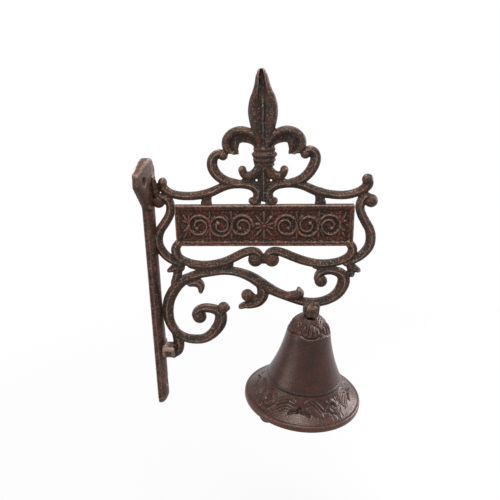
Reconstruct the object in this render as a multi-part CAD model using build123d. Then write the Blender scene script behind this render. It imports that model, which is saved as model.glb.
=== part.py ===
from build123d import *
import math
import os

# Wall bell: a cast-iron scroll bracket with a bell bolted under it and a clapper inside.
# X runs out from the wall, Y from the front of the scrollwork to its back, Z up.
# The origin is on the wall face, at the centre of the lower screw hole.

# Overall places, in mm
axis_x = 92.4              # wall face to the finial's centre line
panel_z = 143.0            # lower screw hole to the panel's centre
scroll_depth = 7.0         # front to back of the scrollwork
crest_share = 0.52         # width left on the front and back faces by the sloped sides
facet_turn = 14.0          # degrees turned by one flat of a scroll's side

# Panel
panel_width = 137.5
panel_height = 32.6
panel_depth = 6.0
panel_border = 2.4
panel_lip = 0.9            # thin step inside the border
panel_recess = 1.5

# Wall plate
plate_width = 16.5
plate_edge = 3.5           # thickness at the bar's edges
plate_crown = 8.0          # thickness along the bar's centre line
head_half_width = 31.0
head_edge = 4.0
head_top = 52.0            # above the panel's centre
head_shoulder = 36.0
head_neck = 14.0
bar_overhang = 21.5        # lower screw hole to the bar's lower end
screw_r = 2.4
sink_r = 4.2
sink_depth = 1.9
side_screw_y = 17.5        # upper screw holes, each side of the scrollwork
side_screw_height = 38.0   # above the panel's centre

# Square bosses
boss_size = 9.0
boss_depth = 19.0
foot_boss_v = -110.0
bell_boss_width = 14.0
bell_boss_depth = 11.0
bell_boss_top = -66.0

# Bell seat under the lower scroll
seat_u = 38.4
seat_v = -78.5
bell_tilt = 4.4            # the bell leans towards the wall

# Bell
bell_height = 79.3
bell_mouth_r = 49.8
bell_wall = 3.2
lip_height = 4.5
crown_hole_gap = 0.4       # between the bell's hole and the eye screw

# Hanger inside the bell
shank_r = 2.5
shank_clearance = 0.05
shank_grip = 8.0           # length inside the bracket's boss
washer_r = 6.5
washer_thickness = 1.2
nut_flats = 8.0
nut_thickness = 4.0
eye_gap = 1.2              # nut to eye
eye_ring_r = 4.5
eye_wire_r = 1.3
link_inner_r = 2.1
link_wire_r = 1.2
link_length = 6.0          # between the link's two end centres
ring_wire_r = 1.2
ring_inner_r = 2.2
wire_sides = 10            # flats round a wire and along half a ball
hang_gap = 0.15            # between wires that hang on each other

# Clapper
clapper_length = 76.0      # ring centre to ball centre
ball_r = 7.5
rod_top_r = 1.6
rod_bottom_r = 2.4
clapper_lean = 21.7        # towards the wall, from the bell's axis


# Scrollwork drawn in the panel's own plane: u along X from the finial, v up from the panel.
# It was drawn for the reach and height below, and stretches with them. A bracket that reaches further is
# cast from wider strokes too, so that strokes that meet still meet.
drawn_axis_x = 92.4
drawn_panel_z = 143.0
stretch_u = axis_x / drawn_axis_x
stretch_v = panel_z / drawn_panel_z


def flats(a, b, c, d):
    """Number of flats from point b to point c of a curve, from how far it turns there."""
    before, after = math.atan2(c[1] - a[1], c[0] - a[0]), math.atan2(d[1] - b[1], d[0] - b[0])
    turn = abs((math.degrees(after - before) + 180) % 360 - 180)
    return max(1, math.ceil(turn / facet_turn))


def curve(points, widths):
    """Places and widths along a smooth curve through the drawn points."""
    drawn = [(u * stretch_u, v * stretch_v, width * stretch_u) for (u, v), width in zip(points, widths)]
    first = tuple(2 * p - q for p, q in zip(drawn[0], drawn[1]))
    last = tuple(2 * p - q for p, q in zip(drawn[-1], drawn[-2]))
    drawn = [first, *drawn, last]
    places = []
    for a, b, c, d in zip(drawn, drawn[1:], drawn[2:], drawn[3:]):
        count = flats(a, b, c, d)
        for step in range(count):
            s = step / count
            places.append(tuple(
                q + (r - p) * s / 2 + (p - 2.5 * q + 2 * r - t / 2) * s ** 2
                + (1.5 * q - p / 2 - 1.5 * r + t / 2) * s ** 3
                for p, q, r, t in zip(a, b, c, d)))
    return places + [drawn[-2]]


def heading(places, index):
    """Unit direction of the curve at one of its places."""
    before = places[max(index - 1, 0)]
    after = places[min(index + 1, len(places) - 1)]
    run = (after[0] - before[0], after[1] - before[1])
    length = math.hypot(*run)
    return run[0] / length, run[1] / length


def stroke_outline(places, share):
    """Closed outline of a tapered stroke with round ends, at a share of its width."""
    left, right = [], []
    for index, (u, v, width) in enumerate(places):
        du, dv = heading(places, index)
        half = width / 2 * share
        left.append((u - dv * half, v + du * half))
        right.append((u + dv * half, v - du * half))
    tips = []
    for index, sign in ((len(places) - 1, 1), (0, -1)):
        du, dv = heading(places, index)
        u, v, width = places[index]
        half = width / 2 * share
        for angle in (60, 20, -20, -60) if sign > 0 else (-60, -20, 20, 60):
            ahead, aside = sign * half * math.cos(math.radians(angle)), half * math.sin(math.radians(angle))
            tips.append((u + du * ahead - dv * aside, v + dv * ahead + du * aside))
    return make_face(Polyline(*left, *tips[:4], *reversed(right), *tips[4:], close=True))


def drafted(outline, depth):
    """Solid that is widest at its mid-plane and slopes in to its front and back faces, as a casting does."""
    levels = ((-depth / 2, crest_share), (0, 1), (depth / 2, crest_share))
    return loft([Pos(0, 0, level) * outline(share) for level, share in levels], ruled=True)


def stroke(points, widths, depth=scroll_depth):
    places = curve(points, widths)
    return drafted(lambda share: stroke_outline(places, share), depth)


def knob(u, v, radius, depth=scroll_depth + 1):
    """Round end of a scroll, domed on both faces."""
    radius = radius * stretch_u
    profile = Polyline((0, 0), (radius, 0), (radius * 0.86, depth * 0.28), (radius * 0.5, depth / 2),
                       (0, depth / 2), close=True)
    half = revolve(Plane.XZ * make_face(profile), Axis.Z)
    dome = half + mirror(half, about=Plane.XY)
    return Pos(u * stretch_u, v * stretch_v, 0) * dome


def mirrored(solids):
    """The solids and their mirror images about the finial's centre line."""
    return solids + [mirror(solid, about=Plane.YZ) for solid in solids]


def finial_leaf():
    heights = [61, 68, 75, 80, 85, 90, 95, 100, 105, 110, 113.6]
    halves = [4.2, 6.4, 9.0, 10.0, 10.6, 10.1, 8.9, 6.5, 4.8, 3.8, 2.6]
    points = [(0, height) for height in heights]
    leaf = stroke(points, [2 * half for half in halves], scroll_depth + 1.6)
    depth = scroll_depth / 2 + 1.4
    groove = Pos(0, 102 * stretch_v, depth) * Rot(0, 45, 0) * Box(2.6, 18, 2.6)
    vein = Pos(0, 78 * stretch_v, depth) * Rot(0, 45, 0) * Box(1.8, 34, 1.8)
    cuts = groove + vein
    return leaf - cuts - mirror(cuts, about=Plane.XY)


def finial_sides():
    petal = stroke(
        [(4, 61), (6.5, 65.4), (11, 68.6), (16.5, 69.8), (21.6, 68.2), (24.9, 64.2), (24.8, 59.6),
         (22.2, 56.8)],
        [3.5, 5.5, 8.5, 10.4, 11.4, 11.8, 10.4, 5.0])
    flank = stroke(
        [(22, 33.6), (29.5, 35.2), (34.6, 39.4), (38, 44.8), (39.1, 50.2), (37.9, 54.9), (34.6, 57.4),
         (31.4, 56.6)],
        [5.4, 5.8, 6.8, 7.2, 6.8, 6.0, 5.4, 5.0])
    curl = stroke(
        [(1.5, 45.5), (5.2, 41.2), (10.2, 38.4), (14.6, 39.2), (16.0, 43.8)],
        [6, 6.0, 4.6, 5.0, 3.4])
    return mirrored([petal, flank, curl, knob(30.4, 54, 3.5)])


def collar():
    """Ring, bead and ring round the finial's foot."""
    rings = [(58.0, 6.9, 3.2), (54.0, 9.4, 5.6), (49.4, 7.7, 2.6), (47.2, 6.2, 2.6)]
    solids = []
    for height, half, thick in rings:
        bar = stroke([(-half + thick / 2, height), (0, height), (half - thick / 2, height)],
                     [thick] * 3, scroll_depth + 0.45 * half)
        solids.append(bar)
    return solids


def stem():
    body = stroke([(0, 60), (0, 46), (0, 38), (0, 30), (0, 25.5)], [10, 12, 8.5, 8.5, 5])
    places = [(side * 5.2 * stretch_u, 34.6 * stretch_v) for side in (-1, 1)]
    holes = [Pos(u, v, 0) * Cylinder(0.9, 3 * scroll_depth) for u, v in places]
    return body, holes


def top_scroll():
    branch = [(7, 18.2), (4.6, 21.6), (4.6, 26.2), (9, 30.2), (17, 31.9), (25, 31.7), (32, 29.6),
              (40, 26.2), (48, 24.1), (56, 23.2), (64, 23.6)]
    widths = [5.2, 6.2, 6.6, 5.8, 5.4, 5.6, 6.0, 6.2, 5.8, 5.4, 5.4]
    far_end = stroke(branch + [(70.6, 25.8), (75.6, 28.8), (78.6, 32.4), (77.4, 36.0)],
                     widths + [5.6, 6.4, 7.4, 5.6])
    near_end = mirror(stroke(branch + [(70, 24.8), (74.6, 27.6), (76.8, 31.2), (76.4, 34.2)],
                             widths + [5.4, 5.6, 6.0, 5.4]), about=Plane.YZ)
    strut = stroke([(43.6, 26), (43.4, 20), (43.6, 15)], [8.6, 6.6, 8.0])
    return [far_end, near_end] + mirrored([strut])


def side_scroll():
    path = [(79.6, 21.2), (76.2, 22.2), (73.0, 18.6), (72.2, 13), (74.0, 7), (77.6, 0.8), (81.2, -5),
            (82.9, -11.6), (82.2, -18), (78.8, -23.8), (73, -28.8), (65.5, -32.2)]
    body = stroke(path, [5.0, 5.4, 5.6, 5.6, 5.8, 6.2, 6.6, 6.8, 6.4, 6.0, 5.4, 5.0])
    return mirrored([body, knob(80.9, 18.2, 4.6)])


def wave_scroll():
    path = [(67.4, -16), (70.0, -20.5), (68.4, -26.2), (62, -30), (54, -32), (46, -32.6), (38, -31.2),
            (30, -28.8), (23, -26), (16.5, -23.2), (10, -21.2), (4.6, -21.8), (1.9, -26.2), (3.4, -31),
            (7.2, -32)]
    widths = [6, 6.8, 6.6, 5.4, 5.2, 5.2, 5.2, 5.2, 5.2, 5.2, 5.2, 4.8, 4.4, 4.4, 4.4]
    return mirrored([stroke(path, widths), knob(6.6, -28.8, 4.2)])


def lower_arc():
    path = [(-67, -49.2), (-59.4, -44.2), (-50.6, -41.4), (-42, -40.2), (-34, -39.6), (-26, -39.8),
            (-18, -41.8), (-10, -45.4), (-3, -50), (4, -54.8), (11, -58.8), (18, -61.8), (25, -64.4),
            (32, -66.4), (39, -67.2),
            (46, -66.6), (53, -64), (59.2, -59.2), (63, -52.6), (63.8, -46), (61.2, -41), (55.6, -38.6),
            (49.6, -38.8), (44.8, -41.6), (43.2, -46)]
    widths = [5.6, 5.6, 5.6, 5.4, 5.4, 5.6, 6.4, 7.6, 8.4, 7.6, 6.4, 6.0, 6.2, 6.2, 6.2, 6.4, 6.8, 7.8,
              8.8, 9.2,
              7.6, 5.6, 5.2, 5.2, 5.0]
    return [stroke(path, widths), knob(46.2, -47.8, 4.6)]


def lower_left_scroll():
    path = [(-62, -45.6), (-69, -50.6), (-74.6, -57.4), (-78.6, -64.6), (-80.4, -72.4), (-80.2, -80.6),
            (-78, -88), (-73.4, -94.6), (-67, -99), (-60, -101), (-52, -101), (-45, -98.6),
            (-39.6, -93.8), (-36.4, -86.8),
            (-35.8, -79.4), (-38.6, -74), (-43.6, -71.6), (-49, -71.2), (-54.4, -73.2), (-57.2, -77.4),
            (-56.4, -82)]
    widths = [6, 6.6, 7.2, 7.6, 8.0, 8.0, 8.0, 7.6, 7.2, 7.2, 7.4, 8.2, 9.0, 9.2, 8.6, 6.6, 5.2, 4.8, 4.6,
              4.4, 4.4]
    step = stroke([(-40, -94), (-42.8, -89.6), (-40.4, -85.4)], [5, 4, 3.4])
    foot = stroke([(-75.6, -92), (-73.8, -99), (-73.2, -106), (-74.4, -112.4), (-77.8, -117.4)],
                  [6, 7.2, 7.6, 7.4, 5.2])
    return [stroke(path, widths), knob(-53.6, -80.4, 4.9), knob(-34, -70.6, 4.3), step, foot]


def lower_leaves():
    branch = stroke([(-3, -50), (-1.2, -56), (-1.4, -61.6), (-5, -66.6), (-10.6, -68.8), (-15.6, -69.4),
                     (-19, -71)],
                    [7, 8.4, 8.6, 7.2, 5.8, 4.6, 3.2])
    eye = stroke([(-12.6, -61.2), (-8, -63.4)], [8.6, 6.0])
    hanging = stroke([(-57, -47.4), (-52, -50), (-50.8, -54), (-51.8, -57.6)], [5, 5.4, 4.6, 2.6])
    overlap = stroke([(20, -61.4), (25.6, -61.8), (29, -59.6), (27.6, -55)], [5, 6.2, 6.2, 2.8],
                     scroll_depth + 1.6)
    outer = stroke([(66, -33), (68.6, -37), (69.6, -42)], [5, 5.4, 4])
    tip = stroke([(67, -36), (70.6, -36.6), (74.2, -38.4)], [6, 6, 2.8])
    inner = stroke([(-66, -33), (-68.4, -37), (-70.2, -43), (-72.6, -50)], [5, 5.4, 5.6, 5.6])
    inner_tip = stroke([(-67, -36), (-71.6, -36.6), (-76, -39)], [6, 5.8, 2.8])
    return [branch, eye, hanging, overlap, outer, tip, inner, inner_tip, knob(-13.4, -61, 4.9)]


def scroll_web():
    """The short webs that join neighbouring scrolls."""
    return [
        stroke([(-48, -33), (-44, -38.5), (-36, -38)], [8, 8, 6]),
        stroke([(44, -36), (50, -37), (56, -36)], [5, 7, 5]),
        stroke([(0, -22), (0, -29)], [4, 4]),
    ]


def panel():
    """Plate with a raised border, a thin lip and a bare sunk field on the front, and a flat back."""
    plate = Box(panel_width, panel_height, panel_depth)
    plate = chamfer(plate.edges().filter_by(Axis.Z, reverse=True), 0.7)
    for border, sink in ((panel_border, panel_recess / 2), (panel_border + panel_lip, panel_recess)):
        field = Box(panel_width - 2 * border, panel_height - 2 * border, sink)
        plate -= Pos(0, 0, panel_depth / 2 - sink / 2) * field
    return Pos(0, -0.4, 0) * plate


def scrollwork():
    body, holes = stem()
    solids = [finial_leaf(), body, panel()]
    for group in (finial_sides(), collar(), top_scroll(), side_scroll(), wave_scroll(), lower_arc(),
                  lower_left_scroll(), lower_leaves(), scroll_web()):
        solids += group
    work = solids[0].fuse(*solids[1:])
    for hole in holes:
        work -= hole
    return Pos(axis_x, 0, panel_z) * Rot(90, 0, 0) * work


def wall_plate():
    """Half-round bar with a ridged, winged head and a round lower end."""
    top = panel_z + head_top
    half = plate_width / 2
    bar_length = top + bar_overhang
    bar_outline = Pos(0, (top - bar_overhang) / 2) * SlotOverall(bar_length, plate_width, rotation=90)
    bar_section = make_face([
        Polyline((0, half), (0, -half), (plate_edge, -half)),
        ThreePointArc((plate_edge, -half), (plate_crown, 0), (plate_edge, half)),
        Line((plate_edge, half), (0, half)),
    ])
    wing = head_half_width
    head_outline = make_face(Polyline(
        (-half, panel_z + head_neck), (-half - 2.5, panel_z + head_neck + 3.5),
        (-wing, panel_z + head_shoulder), (-wing + 1.5, panel_z + head_top - 3.4),
        (-wing / 2, panel_z + head_top - 1.2), (0, top), (13, panel_z + head_top - 2),
        (20.5, panel_z + head_top - 8), (wing, panel_z + head_shoulder - 8),
        (wing - 1.5, panel_z + head_shoulder - 12),
        (half + 2.5, panel_z + head_neck + 3.5), (half, panel_z + head_neck), close=True))
    head_outline = fillet(head_outline.vertices(), 1.4)
    head_section = make_face(Polyline(
        (0, -wing), (head_edge, -wing), (plate_crown, 0), (head_edge, wing), (0, wing), close=True))
    rise = top + 2 * bar_overhang
    upright = Pos(0, 0, -bar_overhang - 1)
    bar = extrude(Plane.YZ * bar_outline, plate_crown) & upright * extrude(bar_section, rise)
    head = extrude(Plane.YZ * head_outline, plate_crown) & upright * extrude(head_section, rise)
    return bar + head


def screw_hole(y, z, thickness):
    """Straight hole with a countersink, along X from the wall face."""
    bore = extrude(Plane.YZ.offset(-1) * Pos(y, z) * Circle(screw_r), plate_crown + 2)
    sink = Pos(thickness - sink_depth / 2, y, z) * Rot(0, 90, 0) * Cone(screw_r, sink_r, sink_depth)
    mouth = Pos(thickness + 2, y, z) * Rot(0, 90, 0) * Cylinder(sink_r, 4)
    return [bore, sink, mouth]


def on_seat(shape):
    """Places a piece drawn hanging from the origin on the bell's tilted seat."""
    return Pos(axis_x + seat_u * stretch_u, 0, panel_z + seat_v * stretch_v) * Rot(0, bell_tilt, 0) * shape


def bosses():
    foot_u = plate_crown - axis_x + boss_size / 2 - 1
    foot = Box(boss_size + 2, boss_depth, boss_size)
    foot = chamfer(foot.edges(), 0.6)
    foot = Pos(axis_x + foot_u + 1, 0, panel_z + foot_boss_v * stretch_v) * foot
    drop = bell_boss_top - seat_v
    core = Pos(0, 0, drop / 2) * Box(bell_boss_width, bell_boss_depth, drop)
    core = fillet(core.edges().filter_by(Axis.Z), 2.0)
    cross = Pos(0, 0, boss_size / 2 + 0.8) * Box(boss_size, boss_depth, boss_size)
    cross = chamfer(cross.edges(), 0.6)
    socket = Pos(0, 0, shank_grip / 2 - 0.4) * Cylinder(shank_r + shank_clearance, shank_grip + 1.2)
    return foot, on_seat(core + cross), on_seat(socket)


def bracket():
    foot, bell_boss, socket = bosses()
    body = scrollwork() + wall_plate() + foot + bell_boss - socket
    side_thickness = plate_crown - (plate_crown - head_edge) * side_screw_y / head_half_width
    side_z = panel_z + side_screw_height
    for y, z, thickness in ((0, 0, plate_crown), (-side_screw_y, side_z, side_thickness),
                            (side_screw_y, side_z, side_thickness)):
        for cutter in screw_hole(y, z, thickness):
            body -= cutter
    return body


def bell():
    """Turned shell: domed crown, bead, waist, shoulder bead, flared skirt and lip."""
    crown, waist, skirt = bell_height - 18.3, bell_height * 0.29, lip_height
    crown_r, waist_r, foot_r = bell_mouth_r * 0.385, bell_mouth_r * 0.625, bell_mouth_r - 0.5
    bead, ceiling, inner = 1.3, bell_height - bell_wall, bell_wall * 1.02
    section = make_face([
        Line((0, bell_height), (7.5, bell_height)),
        ThreePointArc((7.5, bell_height), (crown_r * 0.82, bell_height - 6.5),
                      (crown_r - 0.2, crown + bead)),
        ThreePointArc((crown_r - 0.2, crown + bead), (crown_r + bead * 0.75, crown),
                      (crown_r, crown - bead)),
        ThreePointArc((crown_r, crown - bead), (crown_r + 3.9, (crown + waist) / 2),
                      (waist_r - 0.4, waist + bead)),
        ThreePointArc((waist_r - 0.4, waist + bead), (waist_r + bead, waist), (waist_r + 1, waist - bead)),
        ThreePointArc((waist_r + 1, waist - bead), (waist_r + 8.2, waist * 0.52), (foot_r, skirt)),
        Polyline((foot_r, skirt), (bell_mouth_r, skirt - 0.8), (bell_mouth_r, 0.8), (foot_r, 0),
                 (foot_r - inner, 0)),
        ThreePointArc((foot_r - inner, 0), (waist_r + 5.4, waist * 0.42), (waist_r - inner, waist - 1)),
        ThreePointArc((waist_r - inner, waist - 1), (crown_r + 3.9 - inner, (crown + waist) / 2 - 1),
                      (crown_r - inner, crown - 1)),
        Line((crown_r - inner, crown - 1), (crown_r - inner - 2.2, ceiling - 5)),
        Line((crown_r - inner - 2.2, ceiling - 5), (crown_r - inner - 6, ceiling)),
        Line((crown_r - inner - 6, ceiling), (0, ceiling)),
        Line((0, ceiling), (0, bell_height)),
    ])
    shell = revolve(Plane.XZ * section, Axis.Z)
    shell -= Pos(0, 0, ceiling) * Cylinder(shank_r + crown_hole_gap, 4 * bell_wall)
    return on_seat(Pos(0, 0, -bell_height) * shell)


# Depths below the seat, along the bell's axis
washer_depth = bell_wall
nut_depth = washer_depth + washer_thickness
eye_depth = nut_depth + nut_thickness + eye_gap + eye_wire_r + eye_ring_r
link_pivot_depth = eye_depth + eye_ring_r + link_inner_r - eye_wire_r - hang_gap
ring_drop = link_length + link_inner_r + link_wire_r + ring_inner_r - link_wire_r - hang_gap


def ring(mean_r, wire_r):
    """Wire ring that stands upright, with its axis along Y."""
    wire = Pos(mean_r, 0) * RegularPolygon(wire_r, wire_sides)
    return Rot(90, 0, 0) * revolve(Plane.XZ * wire, Axis.Z)


def washer():
    disc = Cylinder(washer_r, washer_thickness) - Cylinder(shank_r + 0.3, 2 * washer_thickness)
    return on_seat(Pos(0, 0, -washer_depth - washer_thickness / 2) * disc)


def nut():
    body = extrude(RegularPolygon(nut_flats / 2, 6, major_radius=False), nut_thickness)
    body -= Cylinder(shank_r + shank_clearance, 4 * nut_thickness)
    return on_seat(Pos(0, 0, -nut_depth - nut_thickness) * body)


def eye_screw():
    shank_end = eye_depth - eye_ring_r
    shank = Pos(0, 0, (shank_grip - shank_end) / 2) * Cylinder(shank_r, shank_grip + shank_end)
    eye = Pos(0, 0, -eye_depth) * ring(eye_ring_r, eye_wire_r)
    return on_seat(shank + eye)


link_place = Pos(0, 0, -link_pivot_depth)


def link():
    """Closed oval link in the plane across the eye."""
    bend = link_inner_r + link_wire_r
    path = Wire([
        Line((0, bend, 0), (0, bend, -link_length)),
        ThreePointArc((0, bend, -link_length), (0, 0, -link_length - bend), (0, -bend, -link_length)),
        Line((0, -bend, -link_length), (0, -bend, 0)),
        ThreePointArc((0, -bend, 0), (0, 0, bend), (0, bend, 0)),
    ])
    oval = sweep(Plane((0, bend, 0), z_dir=(0, 0, -1)) * RegularPolygon(link_wire_r, wire_sides), path)
    return on_seat(link_place * oval)


def clapper():
    """Ring, tapered rod and ball in one piece."""
    loop = ring(ring_inner_r + ring_wire_r, ring_wire_r)
    rod_length = clapper_length - ring_inner_r - ring_wire_r
    rod_middle = (clapper_length + ring_inner_r + ring_wire_r) / 2
    rod = Pos(0, 0, -rod_middle) * Cone(rod_bottom_r, rod_top_r, rod_length)
    turns = [math.radians(90 - 180 * step / wire_sides) for step in range(wire_sides + 1)]
    half = Polyline(*[(ball_r * math.cos(turn), ball_r * math.sin(turn)) for turn in turns], close=True)
    ball = Pos(0, 0, -clapper_length) * revolve(Plane.XZ * make_face(half), Axis.Z)
    piece = Rot(0, clapper_lean, 0) * (loop + rod + ball)
    return on_seat(link_place * Pos(0, 0, -ring_drop) * piece)


def main():
    os.makedirs("parts", exist_ok=True)
    makers = {
        "scroll_bracket": bracket,
        "bell": bell,
        "eye_screw": eye_screw,
        "washer": washer,
        "nut": nut,
        "clapper_link": link,
        "clapper": clapper,
    }
    for name, make in makers.items():
        export_step(make(), "parts/" + name + ".step")


main()
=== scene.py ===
import math

import bmesh
import bpy
import numpy as np
from mathutils import Matrix, Vector


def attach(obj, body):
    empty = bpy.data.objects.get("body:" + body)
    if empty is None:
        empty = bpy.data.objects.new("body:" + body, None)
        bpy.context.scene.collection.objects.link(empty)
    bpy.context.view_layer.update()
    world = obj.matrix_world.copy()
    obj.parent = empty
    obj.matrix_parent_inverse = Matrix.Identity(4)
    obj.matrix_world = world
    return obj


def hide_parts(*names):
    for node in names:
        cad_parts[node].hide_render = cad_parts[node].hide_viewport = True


bl_info = {
    "name": "Wall Bell",
    "version": (1, 0, 0),
    "blender": (4, 5, 0),
    "location": "View3D > Sidebar > Wall Bell",
    "description": "Builds the looks of a cast-iron wall bell on its CAD frame",
    "category": "Add Mesh",
}

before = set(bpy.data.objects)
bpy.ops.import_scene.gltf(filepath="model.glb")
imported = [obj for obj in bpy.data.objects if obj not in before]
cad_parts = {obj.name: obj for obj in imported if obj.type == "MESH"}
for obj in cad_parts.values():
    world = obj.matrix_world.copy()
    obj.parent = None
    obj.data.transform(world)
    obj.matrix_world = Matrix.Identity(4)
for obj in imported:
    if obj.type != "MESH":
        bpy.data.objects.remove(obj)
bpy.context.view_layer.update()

# Drawn sizes are in mm, and the settings' lengths in Blender's metres. The scrollwork is drawn on a grid:
# u runs out along X from the finial's centre line, and v runs up from a height near the panel's middle.
MM = 0.001
FINIAL_X = 92.4
PANEL_Z = 143.0
BOTH = (1, -1)             # a stroke as drawn, and its mirror image

# Cast strokes
HALF_DEPTH = 3.5           # half the scrolls' thickness, front to back
STROKE_GROWTH = 0.55       # width that round cast edges add to a drawn stroke
CURVE_STEPS = 7            # rows of a stroke from one drawn point to the next
CAP_ANGLES = (22, 42, 60, 75, 86)    # degrees round the half circle that closes a stroke's end
FINIAL_LEAN = 0.6          # petals, stem and flanks lie this much further out than the finial's leaf

# Panel
PANEL_U, PANEL_V = 0.6, -1.1         # the panel's middle on the scrollwork's grid
PANEL_LIP = 0.9            # thin step inside the rail
RAIL_DROP = 0.5            # rail to lip
FIELD_SLOPE = 0.5          # width of the slope from the lip down to the field
PANEL_ROUNDING = 0.5

# Wall plate, measured from the lower screw hole
PLATE_REACH = 8.05         # just past the ridge, where the scrolls begin
PLATE_END = -21.5          # lower end of the bar
END_ROUNDING = 9.0         # height over which the bar's end curves back to the wall
BAR_SOFT, HEAD_SOFT = -14.0, 160.0   # edges are softened below the one and above the other
SIDE_SCREW_Y, SIDE_SCREW_Z = 17.5, 181.0
SCREW_MARGIN = 5.2         # kept sharp round each screw hole
SHOULDER_DROP = 3.0        # the head's front shoulder slopes down this far at its tip
SHOULDER_START, SHOULDER_RUN = 7.0, 15.0      # where the slope begins in front, and its length
SHOULDER_FOOT, SHOULDER_RISE = 180.0, 12.0    # the drop fades in over the rise, from the foot up

# Bell. It hangs from the underside of its boss, and its heights are measured from the mouth.
SEAT = (130.8, 0.0, 64.5)
BELL_HEIGHT = 79.3
BELL_CEILING = 76.1
BELL_STEPS = 560           # steps of the spin, fine enough for the ornament
WAIST_EDGE = (31.6, 21.4)  # radius and height where the skirt's ornament begins
SKIRT_FOOT = 4.0           # the skirt's ornament ends here, above the lip
CROWN_FOOT = 62.5          # the crown's ornament begins here
CROWN_TOP = 77.0           # above it the crown faces up more than out
SKIRT_REPEATS, CROWN_REPEATS = 4, 5
SKIRT_RADIUS = 41          # radius at which the skirt's ornament was drawn
SKIRT_TURN = 7             # degrees from the front to the nearest shield's middle, towards the wall

# Voxels that soften the hanger's pieces: finer for the thinner wire, coarser for the rough clapper
STEEL_GRAIN, LINK_GRAIN, CLAPPER_GRAIN = 0.16, 0.14, 0.3

# Passes that smooth each piece's skin, and the most triangles that it keeps
SOFT_SCROLLS = (2, 190000)
SOFT_PANEL = (1, 180000)
SOFT_PLATE = (6, 120000)
SOFT_STEEL = (3, 60000)
SOFT_CLAPPER = (8, 90000)

# Finishes
# The dark hollows are painted shade.
RELIEF_REACH = 1.5         # how far round a point its surroundings are taken for wear and dark hollows
LEAST_RELIEF = 0.12        # anything lower than this doesn't count as a full ridge or hollow
PAINT_PATCH = 9.0          # paint lies in patches about a centimetre wide
PAINT_CHIP = 1.3           # chips are 0.3 to 1 mm wide, and drawn wider because they wouldn't show

# Cross-sections of cast strokes: across from -1 (right of the stroke's direction) to 1, then the
# height as a share of half the casting's depth
ROOF = ((-1, 0.40), (-0.86, 0.52), (0, 1.0), (0.86, 0.52), (1, 0.40))
RIDGE_LEFT = ((-1, 0.38), (-0.84, 0.50), (-0.70, 0.50), (-0.58, 0.66), (0.12, 1.0), (0.86, 0.58),
              (1, 0.40))
RIDGE_RIGHT = tuple((-across, height) for across, height in reversed(RIDGE_LEFT))
BEAD_LEFT = ((-1, 0.36), (-0.92, 0.48), (-0.8, 0.42), (-0.02, 0.40), (0.06, 0.72), (0.3, 0.98),
             (0.55, 1.02), (0.86, 0.72), (1, 0.40))
ROUND = ((-1, 0.25), (-0.88, 0.52), (-0.6, 0.82), (-0.3, 0.96), (0, 1.0), (0.3, 0.96), (0.6, 0.82),
         (0.88, 0.52), (1, 0.25))
LEAF_RIB = ((-1, 0.40), (-0.9, 0.72), (-0.62, 1.0), (-0.4, 0.92), (-0.16, 0.56), (-0.09, 0.56),
            (0, 0.86), (0.09, 0.56), (0.16, 0.56), (0.4, 0.92), (0.62, 1.0), (0.9, 0.72), (1, 0.40))
LEAF_GROOVE = ((-1, 0.45), (-0.84, 0.86), (-0.62, 1.02), (-0.44, 0.96), (-0.36, 0.40), (0, 0.34),
               (0.36, 0.40), (0.44, 0.96), (0.62, 1.02), (0.84, 0.86), (1, 0.45))
STEM = ((-1, 0.40), (-0.8, 0.62), (-0.34, 0.62), (-0.12, 0.86), (0, 1.0), (0.12, 0.86), (0.34, 0.62),
        (0.8, 0.62), (1, 0.40))

# Ornament of the bell's skirt: mm round from a shield's middle, then mm down from the waist's edge.
# Each line has its height or depth and its half width before its points.
SPRAY = (
    (0.55, 3.6, [(5.0, 6.0), (11.5, 5.6), (18.0, 7.6), (23.6, 11.4)]),
    (0.70, 3.8, [(7.0, 10.4), (12.4, 10.8), (17.0, 13.4), (20.4, 17.6)]),
    (0.45, 1.8, [(23.6, 14.6), (26.2, 17.2), (26.6, 20.8)]),
    (0.45, 1.6, [(28.0, 17.0), (29.8, 19.2), (30.4, 21.6)]),
)
LEVEL_VEINS = (
    (-0.75, 0.5, [(5.4, 6.6), (11.0, 5.2), (17.6, 6.8), (22.4, 10.0)]),
    (-0.85, 0.5, [(6.2, 8.6), (11.5, 7.6), (17.4, 9.8), (21.4, 13.2)]),
    (-0.85, 0.5, [(7.6, 10.8), (12.4, 10.4), (17.0, 13.2), (20.0, 16.6)]),
    (-0.70, 0.5, [(9.4, 13.0), (13.2, 13.2), (16.8, 16.6)]),
)
STEEP_VEINS = (
    (-0.9, 0.55, [(8.4, 4.6), (13.6, 8.2), (18.6, 14.0)]),
    (-0.9, 0.55, [(11.8, 4.0), (16.8, 7.6), (21.6, 13.4)]),
    (-0.7, 0.55, [(15.6, 3.6), (19.8, 6.6), (23.6, 11.6)]),
    (-0.6, 0.55, [(7.0, 8.0), (10.6, 11.6), (14.4, 16.8)]),
)
SHIELD_NOTCH = (
    (-1.4, 0.9, [(0.0, 9.8), (2.4, 12.9), (5.0, 13.3), (8.6, 15.2)]),
    (-0.9, 1.2, [(0.0, 11.0), (1.0, 12.4)]),
    (-0.35, 0.55, [(0, 0.9), (40, 0.9)]),
)
BERRY = (32.2, 11.0)       # halfway between two shields

# Stage. The camera stands where the photograph's stood, fitted to the plate, the panel and the mouth.
CAMERA_PLACE = (0.0999, -0.4032, 0.2682)
CAMERA_AZIMUTH, CAMERA_PITCH, CAMERA_ROLL = 2.59, 20.0, -0.95
SENSOR_WIDTH = 36.0
FOCAL_PIXELS, FRAME_PIXELS = 541, 500
OBJECT_MIDDLE = (0.09, 0, 0.12)      # every lamp faces it
FLOOR_PLACE = (0.09, 0, -0.22)
SURROUND_LIGHT = 0.17                # strength of the white surround as a light


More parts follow.
